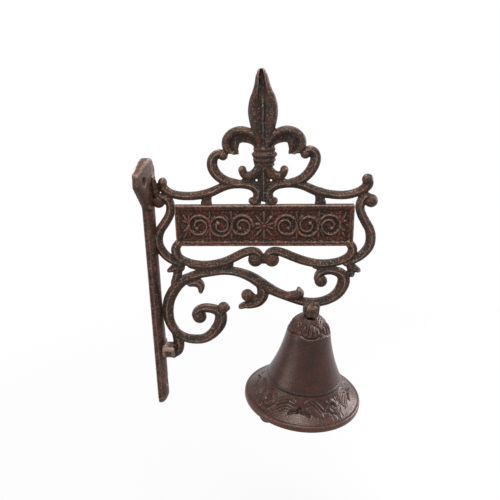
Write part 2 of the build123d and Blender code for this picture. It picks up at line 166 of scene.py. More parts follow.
def linear(hex_colour):
    """An sRGB hex colour as the linear RGBA that Blender's sockets take."""
    parts = [int(hex_colour[i:i + 2], 16) / 255 for i in (1, 3, 5)]
    return tuple(p / 12.92 if p <= 0.04045 else ((p + 0.055) / 1.055) ** 2.4 for p in parts) + (1.0,)


# Mesh helpers

def deselect():
    if bpy.context.object and bpy.context.object.mode != "OBJECT":
        bpy.ops.object.mode_set(mode="OBJECT")
    bpy.ops.object.select_all(action="DESELECT")


def activate(piece):
    deselect()
    piece.select_set(True)
    bpy.context.view_layer.objects.active = piece


def new_piece(name, vertices, faces):
    mesh = bpy.data.meshes.new(name)
    mesh.from_pydata([tuple(v) for v in vertices], [], [tuple(f) for f in faces])
    mesh.update()
    piece = bpy.data.objects.new(name, mesh)
    bpy.context.scene.collection.objects.link(piece)
    return piece


def join(name, pieces):
    deselect()
    for piece in pieces:
        piece.select_set(True)
    bpy.context.view_layer.objects.active = pieces[0]
    bpy.ops.object.join()
    joined = bpy.context.object
    joined.name = joined.data.name = name
    bpy.ops.object.transform_apply(location=True, rotation=True, scale=True)
    return joined


def apply_modifier(piece, kind, **settings):
    activate(piece)
    modifier = piece.modifiers.new(kind.title(), kind)
    for key, value in settings.items():
        setattr(modifier, key, value)
    bpy.ops.object.modifier_apply(modifier=modifier.name)


def as_casting(piece, grain, smoothing, most_triangles):
    """Melts overlapping solids into one skin, softens its edges and thins its triangles."""
    apply_modifier(piece, "REMESH", mode="VOXEL", voxel_size=grain, adaptivity=0.0)
    apply_modifier(piece, "SMOOTH", factor=0.5, iterations=smoothing)
    triangles = sum(len(face.vertices) - 2 for face in piece.data.polygons)
    if triangles > most_triangles:
        apply_modifier(piece, "DECIMATE", ratio=most_triangles / triangles)
    piece.data.shade_smooth()


def copy_of_node(node, name):
    """A merged copy of a CAD node's mesh, ready to be worked on."""
    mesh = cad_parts[node].data.copy()
    piece = bpy.data.objects.new(name, mesh)
    bpy.context.scene.collection.objects.link(piece)
    mesh.materials.clear()
    work = bmesh.new()
    work.from_mesh(mesh)
    bmesh.ops.remove_doubles(work, verts=work.verts, dist=0.002 * MM)
    work.to_mesh(mesh)
    work.free()
    return piece


def places_and_normals(mesh):
    """The mesh's vertices, in mm, and their normals, a row each."""
    count = len(mesh.vertices)
    spots, normals = np.zeros(count * 3), np.zeros(count * 3)
    mesh.vertices.foreach_get("co", spots)
    mesh.vertices.foreach_get("normal", normals)
    return spots.reshape(-1, 3) / MM, normals.reshape(-1, 3)


def mark_relief(piece):
    """Stores how far each point stands proud of its surroundings, for the finishes: worn paint on the ridges
    and painted shade in the hollows. It is about 1 on the piece's sharper ridges and -1 in its hollows."""
    mesh = piece.data
    count = len(mesh.vertices)
    spots, normals = places_and_normals(mesh)
    ends = np.zeros(len(mesh.edges) * 2, dtype=int)
    mesh.edges.foreach_get("vertices", ends)
    first, second = ends.reshape(-1, 2).T
    step = np.linalg.norm(spots[first] - spots[second], axis=1).mean()
    ties = np.maximum(np.bincount(first, minlength=count) + np.bincount(second, minlength=count), 1)
    soft = spots.copy()
    for _ in range(max(2, round((RELIEF_REACH / step) ** 2))):
        for axis in range(3):
            soft[:, axis] = (np.bincount(first, soft[second, axis], count)
                             + np.bincount(second, soft[first, axis], count)) / ties
    proud = np.einsum("ij,ij->i", spots - soft, normals)
    low, middle, high = np.percentile(proud, (8, 50, 92))
    rise, fall = max(high - middle, LEAST_RELIEF), max(middle - low, LEAST_RELIEF)
    relief = np.where(proud > middle, (proud - middle) / rise, (proud - middle) / fall)
    mesh.attributes.new("relief", "FLOAT", "POINT").data.foreach_set("value", relief)


def finish_piece(piece, body, slot, material, *nodes):
    mark_relief(piece)
    piece.data.materials.clear()
    piece.data.materials.append(material)
    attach(piece, body)
    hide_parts(*nodes)


# Cast strokes

def curve_rows(points, widths):
    """(u, v, width) rows along a smooth curve through the drawn points."""
    drawn = np.column_stack([np.array(points, float), np.array(widths) + STROKE_GROWTH])
    drawn = np.vstack([2 * drawn[0] - drawn[1], drawn, 2 * drawn[-1] - drawn[-2]])
    rows = []
    for a, b, c, d in zip(drawn, drawn[1:], drawn[2:], drawn[3:]):
        for s in np.arange(CURVE_STEPS) / CURVE_STEPS:
            rows.append(b + (c - a) * s / 2 + (a - 2.5 * b + 2 * c - d / 2) * s ** 2
                        + (1.5 * b - a / 2 - 1.5 * c + d / 2) * s ** 3)
    rows.append(drawn[-2])
    return np.array(rows)


def round_cap(row, way, sign):
    """Rows that close a stroke's end to a half circle, in the stroke's direction or against it."""
    cap = []
    for angle in map(math.radians, CAP_ANGLES):
        reach = sign * row[2] / 2 * math.sin(angle)
        cap.append((*(row[:2] + way * reach), *way, row[2] * math.cos(angle), math.cos(angle)))
    return cap


def stroke_mesh(points, widths, sections, depth, flip):
    """Vertices and faces of one tapered stroke with round ends. Past its middle, its first section turns
    into its last."""
    rows = curve_rows(points, widths)
    run = np.gradient(rows[:, :2], axis=0)
    run /= np.linalg.norm(run, axis=1)[:, None]
    middle = [(*row[:2], *way, row[2], 1.0) for row, way in zip(rows, run)]
    spots = np.array(round_cap(rows[0], run[0], -1)[::-1] + middle + round_cap(rows[-1], run[-1], 1))
    across = np.unique([place for section in sections for place, _ in section])
    first, last = (np.interp(across, *zip(*section)) for section in (sections[0], sections[-1]))
    vertices = []
    for index, (u, v, du, dv, width, end) in enumerate(spots):
        share = np.clip((index / len(spots) - 0.55) / 0.12, 0, 1) if len(sections) > 1 else 0
        height = ((1 - share) * first + share * last) * depth * (0.45 + 0.55 * end)
        side = across * width / 2
        for sign in (-1, 1):
            order = slice(None) if sign < 0 else slice(None, None, -1)
            for s, h in zip(side[order], height[order]):
                place = (u - dv * s, v + du * s)
                vertices.append((-place[0] if flip else place[0], sign * h, place[1]))
    count = 2 * len(across)
    faces = [tuple(range(count))[::-1], tuple(range(len(vertices) - count, len(vertices)))]
    for ring in range(len(spots) - 1):
        for k in range(count):
            a, b = ring * count + k, ring * count + (k + 1) % count
            faces.append((a, b, b + count, a + count))
    return vertices, faces


def stroke(points, widths, *sections, depth=HALF_DEPTH, sides=(1,), centre=FINIAL_X):
    """Stroke pieces in place on the casting: as drawn, mirrored about a centre line, or both."""
    made = []
    for side in sides:
        vertices, faces = stroke_mesh(points, widths, sections or (ROOF,), depth, side < 0)
        placed = [((centre + x) * MM, y * MM, (PANEL_Z + z) * MM) for x, y, z in vertices]
        piece = new_piece("stroke", placed, faces)
        activate(piece)
        bpy.ops.object.mode_set(mode="EDIT")
        bpy.ops.mesh.select_all(action="SELECT")
        bpy.ops.mesh.normals_make_consistent(inside=False)
        bpy.ops.object.mode_set(mode="OBJECT")
        made.append(piece)
    return made


def knob(u, v, radius, height=HALF_DEPTH, sides=(1,), centre=FINIAL_X):
    """Domed round ends of the scrolls, proud of the strokes that carry them."""
    made = []
    for side in sides:
        place = ((centre + side * u) * MM, 0, (PANEL_Z + v) * MM)
        bpy.ops.mesh.primitive_uv_sphere_add(segments=32, ring_count=16, radius=MM, location=place,
                                             rotation=(math.pi / 2, 0, 0))
        ball = bpy.context.object
        ball.scale = (radius, radius, height)
        made.append(ball)
    return made


def block(u, v, size, turn=0.0, front=0.0, rounding=2.0):
    """A square boss with softened edges. Its middle lies the front distance before the casting's."""
    bpy.ops.mesh.primitive_cube_add(size=1, location=((FINIAL_X + u) * MM, -front * MM, (PANEL_Z + v) * MM),
                                    rotation=(0, turn, 0))
    boss = bpy.context.object
    boss.scale = [side * MM for side in size]
    activate(boss)
    bpy.ops.object.transform_apply(location=False, rotation=False, scale=True)
    apply_modifier(boss, "BEVEL", width=rounding * MM, segments=3)
    return [boss]


# Scrollwork

def finial():
    """The upright leaf, and below it its petals, flanks, curls, stem, web and collar."""
    line = FINIAL_X + FINIAL_LEAN
    made = stroke(
        [(0.4, 61), (0.4, 68), (0.4, 75), (0.4, 80), (0.4, 85), (0.4, 90), (0.3, 95), (0.1, 100),
         (-0.1, 105), (-0.4, 110), (-0.5, 112)],
        [9.4, 13.4, 18, 20.2, 21.4, 20.6, 18.2, 13.8, 10.4, 8.2, 6.0], LEAF_RIB, LEAF_GROOVE, depth=4.4)
    made += petals(line) + flanks(line)
    made += stroke([(2.5, 44.5), (6.0, 39.8), (10.6, 38.0), (14.6, 39.2), (16.4, 42.6)],
                   [7.2, 7.4, 6.0, 5.4, 4.6], ROUND, depth=3.9, sides=BOTH, centre=line - 0.3)
    made += knob(15.8, 42.6, 3.2, 3.6, sides=BOTH, centre=line - 0.3)
    made += stroke([(0, 58), (0, 50), (0, 41), (0, 30), (0, 20.6)], [13, 15, 10.6, 7.5, 5], STEM,
                   depth=3.6, centre=line)
    return made + finial_web(line) + collar(line)


def petals(line):
    """The two side petals of the fleur-de-lis, beaded along the top, with a small barb at each tip."""
    made = stroke(
        [(4, 60.4), (6.5, 64.6), (11, 67.8), (16.5, 69.0), (21.6, 67.6), (24.9, 64.0), (24.8, 59.6),
         (22.2, 56.8)],
        [5.4, 7.8, 10.2, 11.4, 11.8, 12.0, 10.6, 5.0], BEAD_LEFT, depth=4.2, sides=BOTH, centre=line + 0.3)
    made += stroke([(20.6, 62.4), (20.8, 58.6), (19.4, 55.2)], [5.0, 3.8, 1.6], ROOF, depth=2.7,
                   sides=BOTH, centre=line)
    return made


def flanks(line):
    """Scrolls that rise to the petals. The two differ a little, as the casting does."""
    widths = [5.8, 6.6, 7.2, 7.6, 7.4, 6.6, 5.6, 5.0]
    made = stroke([(18.4, 31.8), (27.4, 34.6), (33.2, 39.2), (36.9, 44.8), (38.7, 50.4), (38.0, 54.9),
                   (34.6, 57.3), (31.4, 56.6)], widths, RIDGE_RIGHT, centre=line)
    made += stroke([(19.4, 31.8), (29.2, 34.4), (35.4, 39.0), (38.4, 44.4), (38.6, 49.4), (36.8, 53.0),
                    (33.4, 55.0), (30.6, 54.8)], widths, RIDGE_RIGHT, sides=(-1,), centre=line)
    made += knob(31.0, 54.4, 3.8, 4.4, centre=line)
    made += knob(30.4, 53.6, 3.8, 4.4, sides=(-1,), centre=line)
    return made


def finial_web(line):
    """Thin iron between the curls and the scrolls below them, with one small cast hole each side."""
    made = []
    for side in BOTH:
        place = ((line + side * 5.4) * MM, 0, (PANEL_Z + 34.6) * MM)
        bpy.ops.mesh.primitive_torus_add(major_segments=32, minor_segments=12, major_radius=2.7 * MM,
                                         minor_radius=1.75 * MM, location=place,
                                         rotation=(math.pi / 2, 0, 0))
        ring = bpy.context.object
        ring.scale = (1, 1, 1.3)
        made.append(ring)
    made += stroke([(8.8, 36.4), (13.0, 35.4)], [4.4, 2.6], ROUND, depth=2.4, sides=BOTH, centre=line)
    made += stroke([(9.4, 33.8), (16, 34.2)], [4.4, 2.4], ROUND, depth=2.4, sides=BOTH, centre=line)
    return made


def collar(line):
    """Round bands that tie the petals to the stem, each with its height, half width, thickness and depth."""
    made = []
    for height, half, thick, depth in ((58.2, 8.5, 2.9, 4.7), (54.2, 9.7, 3.6, 5.4), (50.2, 8.7, 3.0, 4.8),
                                       (46.8, 7.8, 2.6, 4.2)):
        place = ((line + 0.6) * MM, 0, (PANEL_Z + height) * MM)
        bpy.ops.mesh.primitive_uv_sphere_add(segments=32, ring_count=16, radius=MM, location=place)
        band = bpy.context.object
        band.scale = (half, depth, thick)
        made.append(band)
    return made


def top_scrolls():
    """Branches that run from the stem's foot over the panel and curl up at its ends, with their struts."""
    branch = [(6.6, 18.2), (4.4, 21.6), (4.4, 26.2), (9, 30.2), (17, 31.8), (25, 31.6), (32, 29.6),
              (40, 26.1), (48, 23.9), (56, 22.8), (64, 22.9)]
    widths = [5.4, 6.4, 6.8, 6.2, 5.8, 5.8, 6.0, 6.4, 6.0, 5.8, 5.8]
    sag = 0.7    # the branch at the wall hangs this much lower in its middle
    lower = [(u, v - sag * math.sin(math.pi * min(max((u - 12) / 50, 0), 1))) for u, v in branch]
    made = stroke(branch + [(71.2, 24.8), (76.6, 27.8), (79.2, 31.8), (78.2, 35.6)],
                  widths + [5.8, 6.6, 7.4, 5.8], RIDGE_LEFT)
    made += stroke(lower + [(70, 24.4), (74.8, 27.0), (77.2, 30.8), (76.8, 34.0)],
                   widths + [5.6, 6.2, 6.4, 5.6], RIDGE_LEFT, sides=(-1,))
    made += knob(78.6, 34.8, 4.3, 4.1)
    made += knob(76.8, 33.4, 3.5, 3.9, sides=(-1,))
    for side, top in ((1, 24.0), (-1, 22.8)):
        made += stroke([(43.6, top), (43.4, 20), (43.8, 17.0)], [8.8, 6.8, 8.4], ROUND, depth=2.7,
                       sides=(side,))
    made += stroke([(3.7, 17.0), (8.6, 18.6)], [3.8, 5.0], ROUND, depth=2.9, sides=BOTH)
    made += stroke([(-84.0, 37.5), (-83.2, 31), (-82.2, 24), (-80.4, 19.6)], [2.2, 3.6, 5.4, 4.6], ROUND,
                   depth=2.9)
    return made


def side_scrolls():
    """Scrolls that hug the panel's two ends. The outer one bows out further than the one at the wall."""
    outer = [(80.6, 21.2), (77.4, 22.2), (74.9, 18.6), (74.0, 13), (75.8, 7), (79.2, 0.8), (82.4, -5),
             (83.6, -11.6), (82.8, -18), (79.2, -23.8), (73.2, -28.8), (65.5, -32.4)]
    inner = [(79.6, 21.2), (76.2, 22.2), (72.8, 18.6), (71.8, 13), (73.4, 7), (77.2, 0.8), (81.3, -5),
             (83.5, -11.6), (83.0, -18), (79.7, -24.2), (74.2, -29.6), (66.5, -33)]
    widths = [5.0, 5.6, 6.2, 6.4, 6.6, 6.8, 7.0, 7.2, 7.0, 6.6, 6.0, 5.4]
    made = stroke(outer, widths, RIDGE_LEFT) + stroke(inner, widths, RIDGE_LEFT, sides=(-1,))
    made += knob(82.2, 18.2, 5.2, 4.7) + knob(80.9, 18.2, 5.0, 4.6, sides=(-1,))
    return made + waves()


def waves():
    """Waving scrolls under the panel that meet in two curls. The one at the wall hangs a little lower."""
    made = []
    for side, drop in ((1, 0), (-1, 1.2)):
        wave = [(67.4, -16), (70.0, -20.5), (68.4, -26.4 - drop), (62, -30.4 - drop), (54, -32.6 - drop),
                (46, -33.2 - drop), (38, -32.2 - drop), (30, -30.0 - drop), (23, -27.2 - drop / 2),
                (16.5, -24.4), (10, -22.4), (5.0, -23.2), (2.6, -26.6), (3.4, -31), (7.2, -32.4)]
        widths = [6, 6.8, 6.8, 5.8, 5.8, 6.0, 6.2, 6.4, 6.4, 6.4, 5.8, 5.0, 4.6, 4.4, 4.4]
        made += stroke(wave, widths, RIDGE_LEFT, sides=(side,))
    return made + knob(6.6, -29.9, 5.9, 4.8, sides=BOTH)


def bell_arm():
    """The long arc that carries the bell and ends in a curl inside its outer bend."""
    made = stroke(
        [(-67, -49.2), (-59.4, -44.4), (-50.6, -41.9), (-42, -40.4), (-34, -39.5), (-26, -39.6),
         (-18, -41.4), (-10, -45.0), (-3, -49.8), (4, -54.6), (11, -58.5), (18, -61.5), (25, -64.2),
         (32, -66.4), (39, -67.2), (46, -66.6), (53, -64.2), (59.2, -59.6), (63.2, -52.8), (64.2, -46.4),
         (61.4, -41.6), (55.6, -39.3), (49.6, -39.3), (44.6, -41.8), (43.0, -46)],
        [5.8, 6.2, 6.6, 6.4, 6.0, 6.4, 7.0, 8.0, 8.6, 8.0, 7.0, 6.6, 6.6, 6.6, 6.6, 6.8, 7.2, 8.2, 9.2,
         9.4, 8.0, 6.4, 6.2, 5.8, 5.2], RIDGE_RIGHT)
    return made + knob(46.0, -48.2, 5.2, 4.7)


def wall_scroll():
    """The large scroll beside the wall plate, with its curl, its buds and its foot."""
    made = stroke(
        [(-62, -45.8), (-69, -51.0), (-74.2, -57.6), (-77.8, -64.6), (-79.6, -72.4), (-79.7, -80.6),
         (-77.9, -88.2), (-73.7, -95.6), (-67, -100.2), (-60, -101.9), (-52, -101.5), (-45.8, -98.3),
         (-40.8, -93.3), (-36.9, -86.6), (-35.8, -79.6), (-38.6, -75.2), (-43.6, -73.2), (-49, -72.8),
         (-54.0, -74.4), (-57.0, -78.0), (-56.2, -82)],
        [7.0, 8.2, 8.8, 9.0, 8.8, 8.2, 7.4, 6.8, 6.8, 7.2, 7.2, 7.8, 8.8, 9.8, 9.6, 8.0, 7.2, 7.0, 6.4,
         5.6, 5.0], RIDGE_RIGHT)
    made += knob(-53.7, -80.6, 5.9, 4.8)
    made += knob(-33.4, -72.2, 4.8, 4.6)
    made += stroke([(-33.2, -72.0), (-29.8, -72.6)], [5.4, 3.4], ROUND, depth=2.6)
    made += knob(-42.4, -91.0, 2.4, 3.6)
    made += stroke([(-75.4, -92), (-73.4, -99), (-72.6, -106), (-73.8, -112.2), (-77.8, -116.6)],
                   [6, 7.8, 8.6, 8.4, 6.0], RIDGE_LEFT)
    return made


def leaves():
    """The arm's branch with its bud, the thorns and leaf tips, and the webs where scrolls touch."""
    made = stroke([(-3, -50), (-1.0, -56), (-1.2, -61.6), (-4.8, -66.8), (-10.6, -69.2), (-15.6, -69.8),
                   (-19, -71.2)], [7, 8.6, 8.8, 7.6, 6.2, 5.0, 3.6], RIDGE_LEFT)
    made += stroke([(-12.6, -61.2), (-8, -63.6)], [8.6, 6.0], ROUND, depth=3.0)
    made += knob(-13.4, -61, 5.2, 4.7)
    made += stroke([(-60, -50.5), (-54.5, -49.6), (-51.4, -53), (-51.6, -57.4)], [5, 7.6, 6.2, 3.2],
                   RIDGE_LEFT)
    made += stroke([(19, -61.2), (25, -60.9), (29.2, -59.6), (28.6, -56.2)], [5, 6.8, 6.8, 3.6], ROUND,
                   depth=4.3)
    made += stroke([(67.4, -33), (69.4, -37), (70.2, -42)], [4.6, 5.6, 4.4], RIDGE_LEFT)
    made += stroke([(68.6, -36), (71.4, -36.8), (75.2, -38.6)], [5.0, 6.0, 3.6], ROOF)
    made += stroke([(-66, -33), (-68.4, -37), (-70.0, -43), (-72.2, -50)], [5.6, 6.2, 6.6, 6.8],
                   RIDGE_RIGHT)
    made += stroke([(-67, -36.4), (-71.6, -36.8), (-76.4, -39)], [6.6, 6.4, 3.0], ROOF)
    made += stroke([(-59, -35), (-52, -36.6), (-44, -37.4), (-36, -36.6), (-26, -34.0)],
                   [4, 5, 6.5, 6.5, 3.5], ROUND, depth=2.4)
    made += stroke([(41, -35.4), (46, -36.0), (51, -35.2)], [4, 5.5, 3], ROUND, depth=2.4)
    made += stroke([(-2, -30), (2, -30)], [6, 6], ROUND, depth=2.4)
    return made


def bosses(tilt):
    """The boss at the wall scroll's foot, and the crossed pair that the bell is bolted under."""
    rise = 6.2    # from the bell's seat up to the pair's middle
    u = SEAT[0] - FINIAL_X + rise * math.sin(tilt)
    v = SEAT[2] - PANEL_Z + rise * math.cos(tilt)
    made = block(-80.6, -110.9, (10.5, 14.5, 8.8), front=2.2)
    made += block(u, v, (13.4, 11, 12.4), tilt, rounding=2.4)
    made += block(u, v, (8.8, 18.6, 11), tilt, rounding=2.2)
    return made


# Panel with its generic leaf scroll

def around(u, v, radius, angle):
    """The place at an angle, in degrees, on a circle round (u, v)."""
    way = math.radians(angle)
    return (u + radius * math.cos(way), v + radius * math.sin(way))


def leaf_fan(u, v, facing, lengths, low):
    """Three pointed leaves that spread from one root, each side of the panel's middle."""
    made = []
    for turn, length in zip((-38, 0, 38), lengths):
        points = [around(u, v, length * share, facing + turn) for share in (0.12, 0.55, 1.0)]
        made += stroke(points, [1.4, 3.3, 0.5], ROOF, depth=low, sides=BOTH, centre=FINIAL_X + PANEL_U)
    return made


def vine(panel_depth):
    """A running vine each way from a palmette: a waving stem, a scroll in each wave, leaves between them."""
    low = panel_depth / 2 - 0.25
    radius, start = 8.4, 8.6         # of each wave, and from the palmette to the first one
    curl_in, curl_turn = 5.6, 420    # a scroll winds in this far over this many degrees
    centre = FINIAL_X + PANEL_U
    made, stem = [], []
    for wave, up in enumerate((1, -1, 1)):
        u = start + radius * (2 * wave + 1)
        stem += [around(u, PANEL_V, radius, up * angle) for angle in (180, 150, 120, 90, 60, 30)]
        curl = [around(u, PANEL_V, radius - curl_in * share, up * (15 - curl_turn * share))
                for share in np.linspace(0, 1, 14)]
        made += stroke(curl, np.linspace(2.5, 1.5, len(curl)), ROUND, depth=low, sides=BOTH, centre=centre)
        made += knob(*curl[-1], 2.1, low + 0.1, sides=BOTH, centre=centre)
        if wave:
            for facing in (90, -90):
                made += leaf_fan(u - radius, PANEL_V + facing / 90 * 2.6, facing, (6.6, 8.6, 6.6), low)
    end = start + 6 * radius
    stem += [(end, PANEL_V), (end + 1.6, PANEL_V - 3)]
    made += stroke(stem, np.linspace(2.9, 2.2, len(stem)), ROUND, depth=low, sides=BOTH, centre=centre)
    made += leaf_fan(end, PANEL_V + 2.4, 62, (4.4, 7.6, 6.0), low)
    made += leaf_fan(end, PANEL_V - 2.4, -62, (6.0, 7.6, 4.4), low)
    return made


def palmette(panel_depth):
    """Ten pointed leaves round a small boss in the panel's middle."""
    low = panel_depth / 2 - 0.2
    centre = FINIAL_X + PANEL_U
    made = []
    for angle, length in ((90, 10.8), (52, 9.6), (16, 7.0), (-16, 7.0), (-52, 9.6), (-90, 10.8)):
        points = [around(0, PANEL_V, length * share, angle) for share in (0.15, 0.45, 0.75, 1.0)]
        sides = (1,) if abs(angle) == 90 else BOTH
        made += stroke(points, [1.4, 2.8, 3.8, 1.0], ROOF, depth=low, sides=sides, centre=centre)
    return made + knob(0, PANEL_V, 2.6, low + 0.2, centre=centre)


def panel_body(sizes):
    """A block whose front has a raised rail, a fine lip inside it and a sunk field."""
    place = ((FINIAL_X + PANEL_U) * MM, 0, (PANEL_Z + PANEL_V) * MM)
    bpy.ops.mesh.primitive_cube_add(size=1, location=place)
    body = bpy.context.object
    body.scale = (sizes.panel_length, sizes.panel_depth, sizes.panel_height)
    bpy.ops.object.transform_apply(location=True, rotation=False, scale=True)
    activate(body)
    bpy.ops.object.mode_set(mode="EDIT")
    bpy.ops.mesh.select_mode(type="FACE")
    work = bmesh.from_edit_mesh(body.data)
    for face in work.faces:
        face.select = face.normal.y < -0.9
    bmesh.update_edit_mesh(body.data)
    steps = ((sizes.panel_rail, RAIL_DROP * MM), (PANEL_LIP * MM, 0.0),
             (FIELD_SLOPE * MM, sizes.panel_recess - RAIL_DROP * MM))
    for width, drop in steps:
        bpy.ops.mesh.inset(thickness=width)
        if drop:
            bpy.ops.transform.translate(value=(0, drop, 0))
    bpy.ops.object.mode_set(mode="OBJECT")
    apply_modifier(body, "BEVEL", width=PANEL_ROUNDING * MM, segments=2, limit_method="ANGLE",
                   angle_limit=math.radians(40))
    return [body]


# Wall plate

def plate_body():
    """The casting's own plate, cut from a copy of its solid where the scrolls begin."""
    plate = copy_of_node("scroll_bracket", "wall_plate")
    activate(plate)
    bpy.ops.object.mode_set(mode="EDIT")
    bpy.ops.mesh.select_all(action="SELECT")
    bpy.ops.mesh.bisect(plane_co=(PLATE_REACH * MM, 0, 0), plane_no=(1, 0, 0), use_fill=True,
                        clear_outer=True)
    bpy.ops.object.mode_set(mode="OBJECT")
    return plate


def soften_plate(plate):
    """Rounds the bar's lower end down to the wall and the head's edges, and leaves the screw holes sharp."""
    activate(plate)
    bpy.ops.object.mode_set(mode="EDIT")
    bpy.ops.mesh.select_mode(type="VERT")
    work = bmesh.from_edit_mesh(plate.data)
    for vert in work.verts:
        x, y, z = (vert.co / MM)[:]
        low = max(0.0, (PLATE_END + END_ROUNDING - z) / END_ROUNDING)
        vert.co.x *= math.sqrt(max(0.12, 1 - low * low))
        out = min(1.0, max(0.0, (-y - SHOULDER_START) / SHOULDER_RUN))
        up = min(1.0, max(0.0, (z - SHOULDER_FOOT) / SHOULDER_RISE))
        vert.co.z -= SHOULDER_DROP * (out * up) * MM
        to_hole = min(math.hypot(y, z), math.hypot(abs(y) - SIDE_SCREW_Y, z - SIDE_SCREW_Z))
        at_end = z > HEAD_SOFT or z < BAR_SOFT
        vert.select = to_hole >= SCREW_MARGIN and at_end and x > 0.4
    bmesh.update_edit_mesh(plate.data)
    bpy.ops.mesh.vertices_smooth(factor=0.5, repeat=60)
    bpy.ops.object.mode_set(mode="OBJECT")


# Bell

def arc(start, via, end, count):
    """Places along the arc through three (radius, height) points, its end left out."""
    (x1, y1), (x2, y2), (x3, y3) = start, via, end
    d = 2 * (x1 * (y2 - y3) + x2 * (y3 - y1) + x3 * (y1 - y2))
    s1, s2, s3 = x1 * x1 + y1 * y1, x2 * x2 + y2 * y2, x3 * x3 + y3 * y3
    cx = (s1 * (y2 - y3) + s2 * (y3 - y1) + s3 * (y1 - y2)) / d
    cy = (s1 * (x3 - x2) + s2 * (x1 - x3) + s3 * (x2 - x1)) / d
    radius = math.hypot(x1 - cx, y1 - cy)
    a1, a2, a3 = (math.atan2(y - cy, x - cx) for x, y in (start, via, end))
    turn = (a3 - a1) % (2 * math.pi)
    if (a2 - a1) % (2 * math.pi) > turn:
        turn -= 2 * math.pi
    return [(cx + radius * math.cos(a1 + turn * k / count), cy + radius * math.sin(a1 + turn * k / count))
            for k in range(count)]


def bell_profile():
    """Radius and height above the mouth: crown, waist, bead, skirt and lip, then the inside. The stretches
    with ornament have more points."""
    waist_top, waist_foot, skirt_foot = (18.2, 64.6), (31.4, 23.0), (49.1, 4.5)
    outside = [(6.4 * k / 6, BELL_HEIGHT) for k in range(1, 6)]
    outside += arc((6.2, BELL_HEIGHT), (12.7, 73.9), waist_top, 46)
    outside += arc(waist_top, (23.0, 44.0), waist_foot, 24)
    outside += arc(waist_foot, (31.9, 22.2), WAIST_EDGE, 6)
    outside += arc(WAIST_EDGE, (37.8, 11.4), skirt_foot, 58)
    outside += [skirt_foot, (49.6, 3.9), (49.8, 3.0), (49.8, 1.0), (49.6, 0.3), (49.1, 0.0)]
    inside = [(46.6, 0.0), (46.1, 0.3)]
    inside += arc((46.04, 0.4), (36.5, 9.7), (27.9, 22), 14)
    inside += arc((27.9, 22), (19.8, 41), (15.9, 60), 10)
    inside += [(15.9, 60), (13.7, 71.1), (9.9, BELL_CEILING)]
    return outside + inside


def nearest_place(a, b, points):
    """Distance from each (a, b) to a drawn line, and how far along the line the nearest place is."""
    nearest, along = np.full_like(a, 1e9), np.zeros_like(a)
    for k, ((x1, y1), (x2, y2)) in enumerate(zip(points, points[1:])):
        dx, dy = x2 - x1, y2 - y1
        share = np.clip(((a - x1) * dx + (b - y1) * dy) / (dx * dx + dy * dy), 0, 1)
        away = np.hypot(a - x1 - share * dx, b - y1 - share * dy)
        along = np.where(away < nearest, (k + share) / (len(points) - 1), along)
        nearest = np.minimum(nearest, away)
    return nearest, along


def leaf_backs(a, b, lines):
    """Round-backed leaves side by side, thinner towards their tips."""
    top = np.zeros_like(a)
    for height, wide, points in lines:
        away, along = nearest_place(a, b, points)
        half = wide * (1 - 0.8 * np.abs(2 * along - 0.9) ** 3)
        top = np.maximum(top, height * np.sqrt(np.clip(1 - (away / half) ** 2, 0, 1)))
    return top


def grooves(a, b, lines):
    """Grooves with soft edges."""
    return sum(depth * np.exp(-(nearest_place(a, b, points)[0] / wide) ** 2)
               for depth, wide, points in lines)


def dome(a, b, u, v, wide, height):
    """A round-topped bead at (u, v)."""
    away = np.hypot(a - u, b - v) / wide
    return height * np.sqrt(np.clip(1 - away ** 2, 0, 1))


def skirt_relief(angle, down):
    """Notched leaf shields with a spray of leaves each side, and a hooded berry between each two of them, in
    mm down the skirt from the waist's edge."""
    period = 2 * math.pi / SKIRT_REPEATS
    turn = (angle + math.radians(SKIRT_TURN) + period / 2) % period - period / 2
    a, b = np.abs(turn) * SKIRT_RADIUS, down
    shield_foot = 0.75 * np.exp(-((a / 11) ** 2 + ((b - 18.6) / 6.0) ** 2))
    shield_top = 0.55 * np.exp(-((a / 5.0) ** 2 + ((b - 6.0) / 4.2) ** 2))
    height = np.maximum(leaf_backs(a, b, SPRAY), shield_foot) + shield_top
    height += np.where(turn < 0, grooves(a, b, LEVEL_VEINS), grooves(a, b, STEEP_VEINS))
    height += grooves(a, b, SHIELD_NOTCH)
    berry_u, berry_v = BERRY
    to_berry = np.hypot(a - berry_u, b - berry_v)
    hood, hollow = 0.85 * np.exp(-((to_berry - 4.3) / 1.5) ** 2), 0.7 * np.exp(-(to_berry / 2.7) ** 4)
    height += hood - hollow
    height += dome(a, b, berry_u, berry_v + 0.4, 1.5, 0.6)
    height += dome(a, b, 26.6, 6.4, 1.5, 0.6) + dome(a, b, 25.6, 11.2, 1.2, 0.4)    # beads by the hood
    height -= 0.22 * np.exp(-((b - 22.4) / 0.7) ** 2)                               # line above the lip
    return height * np.clip((b - 0.2) / 1.0, 0, 1)


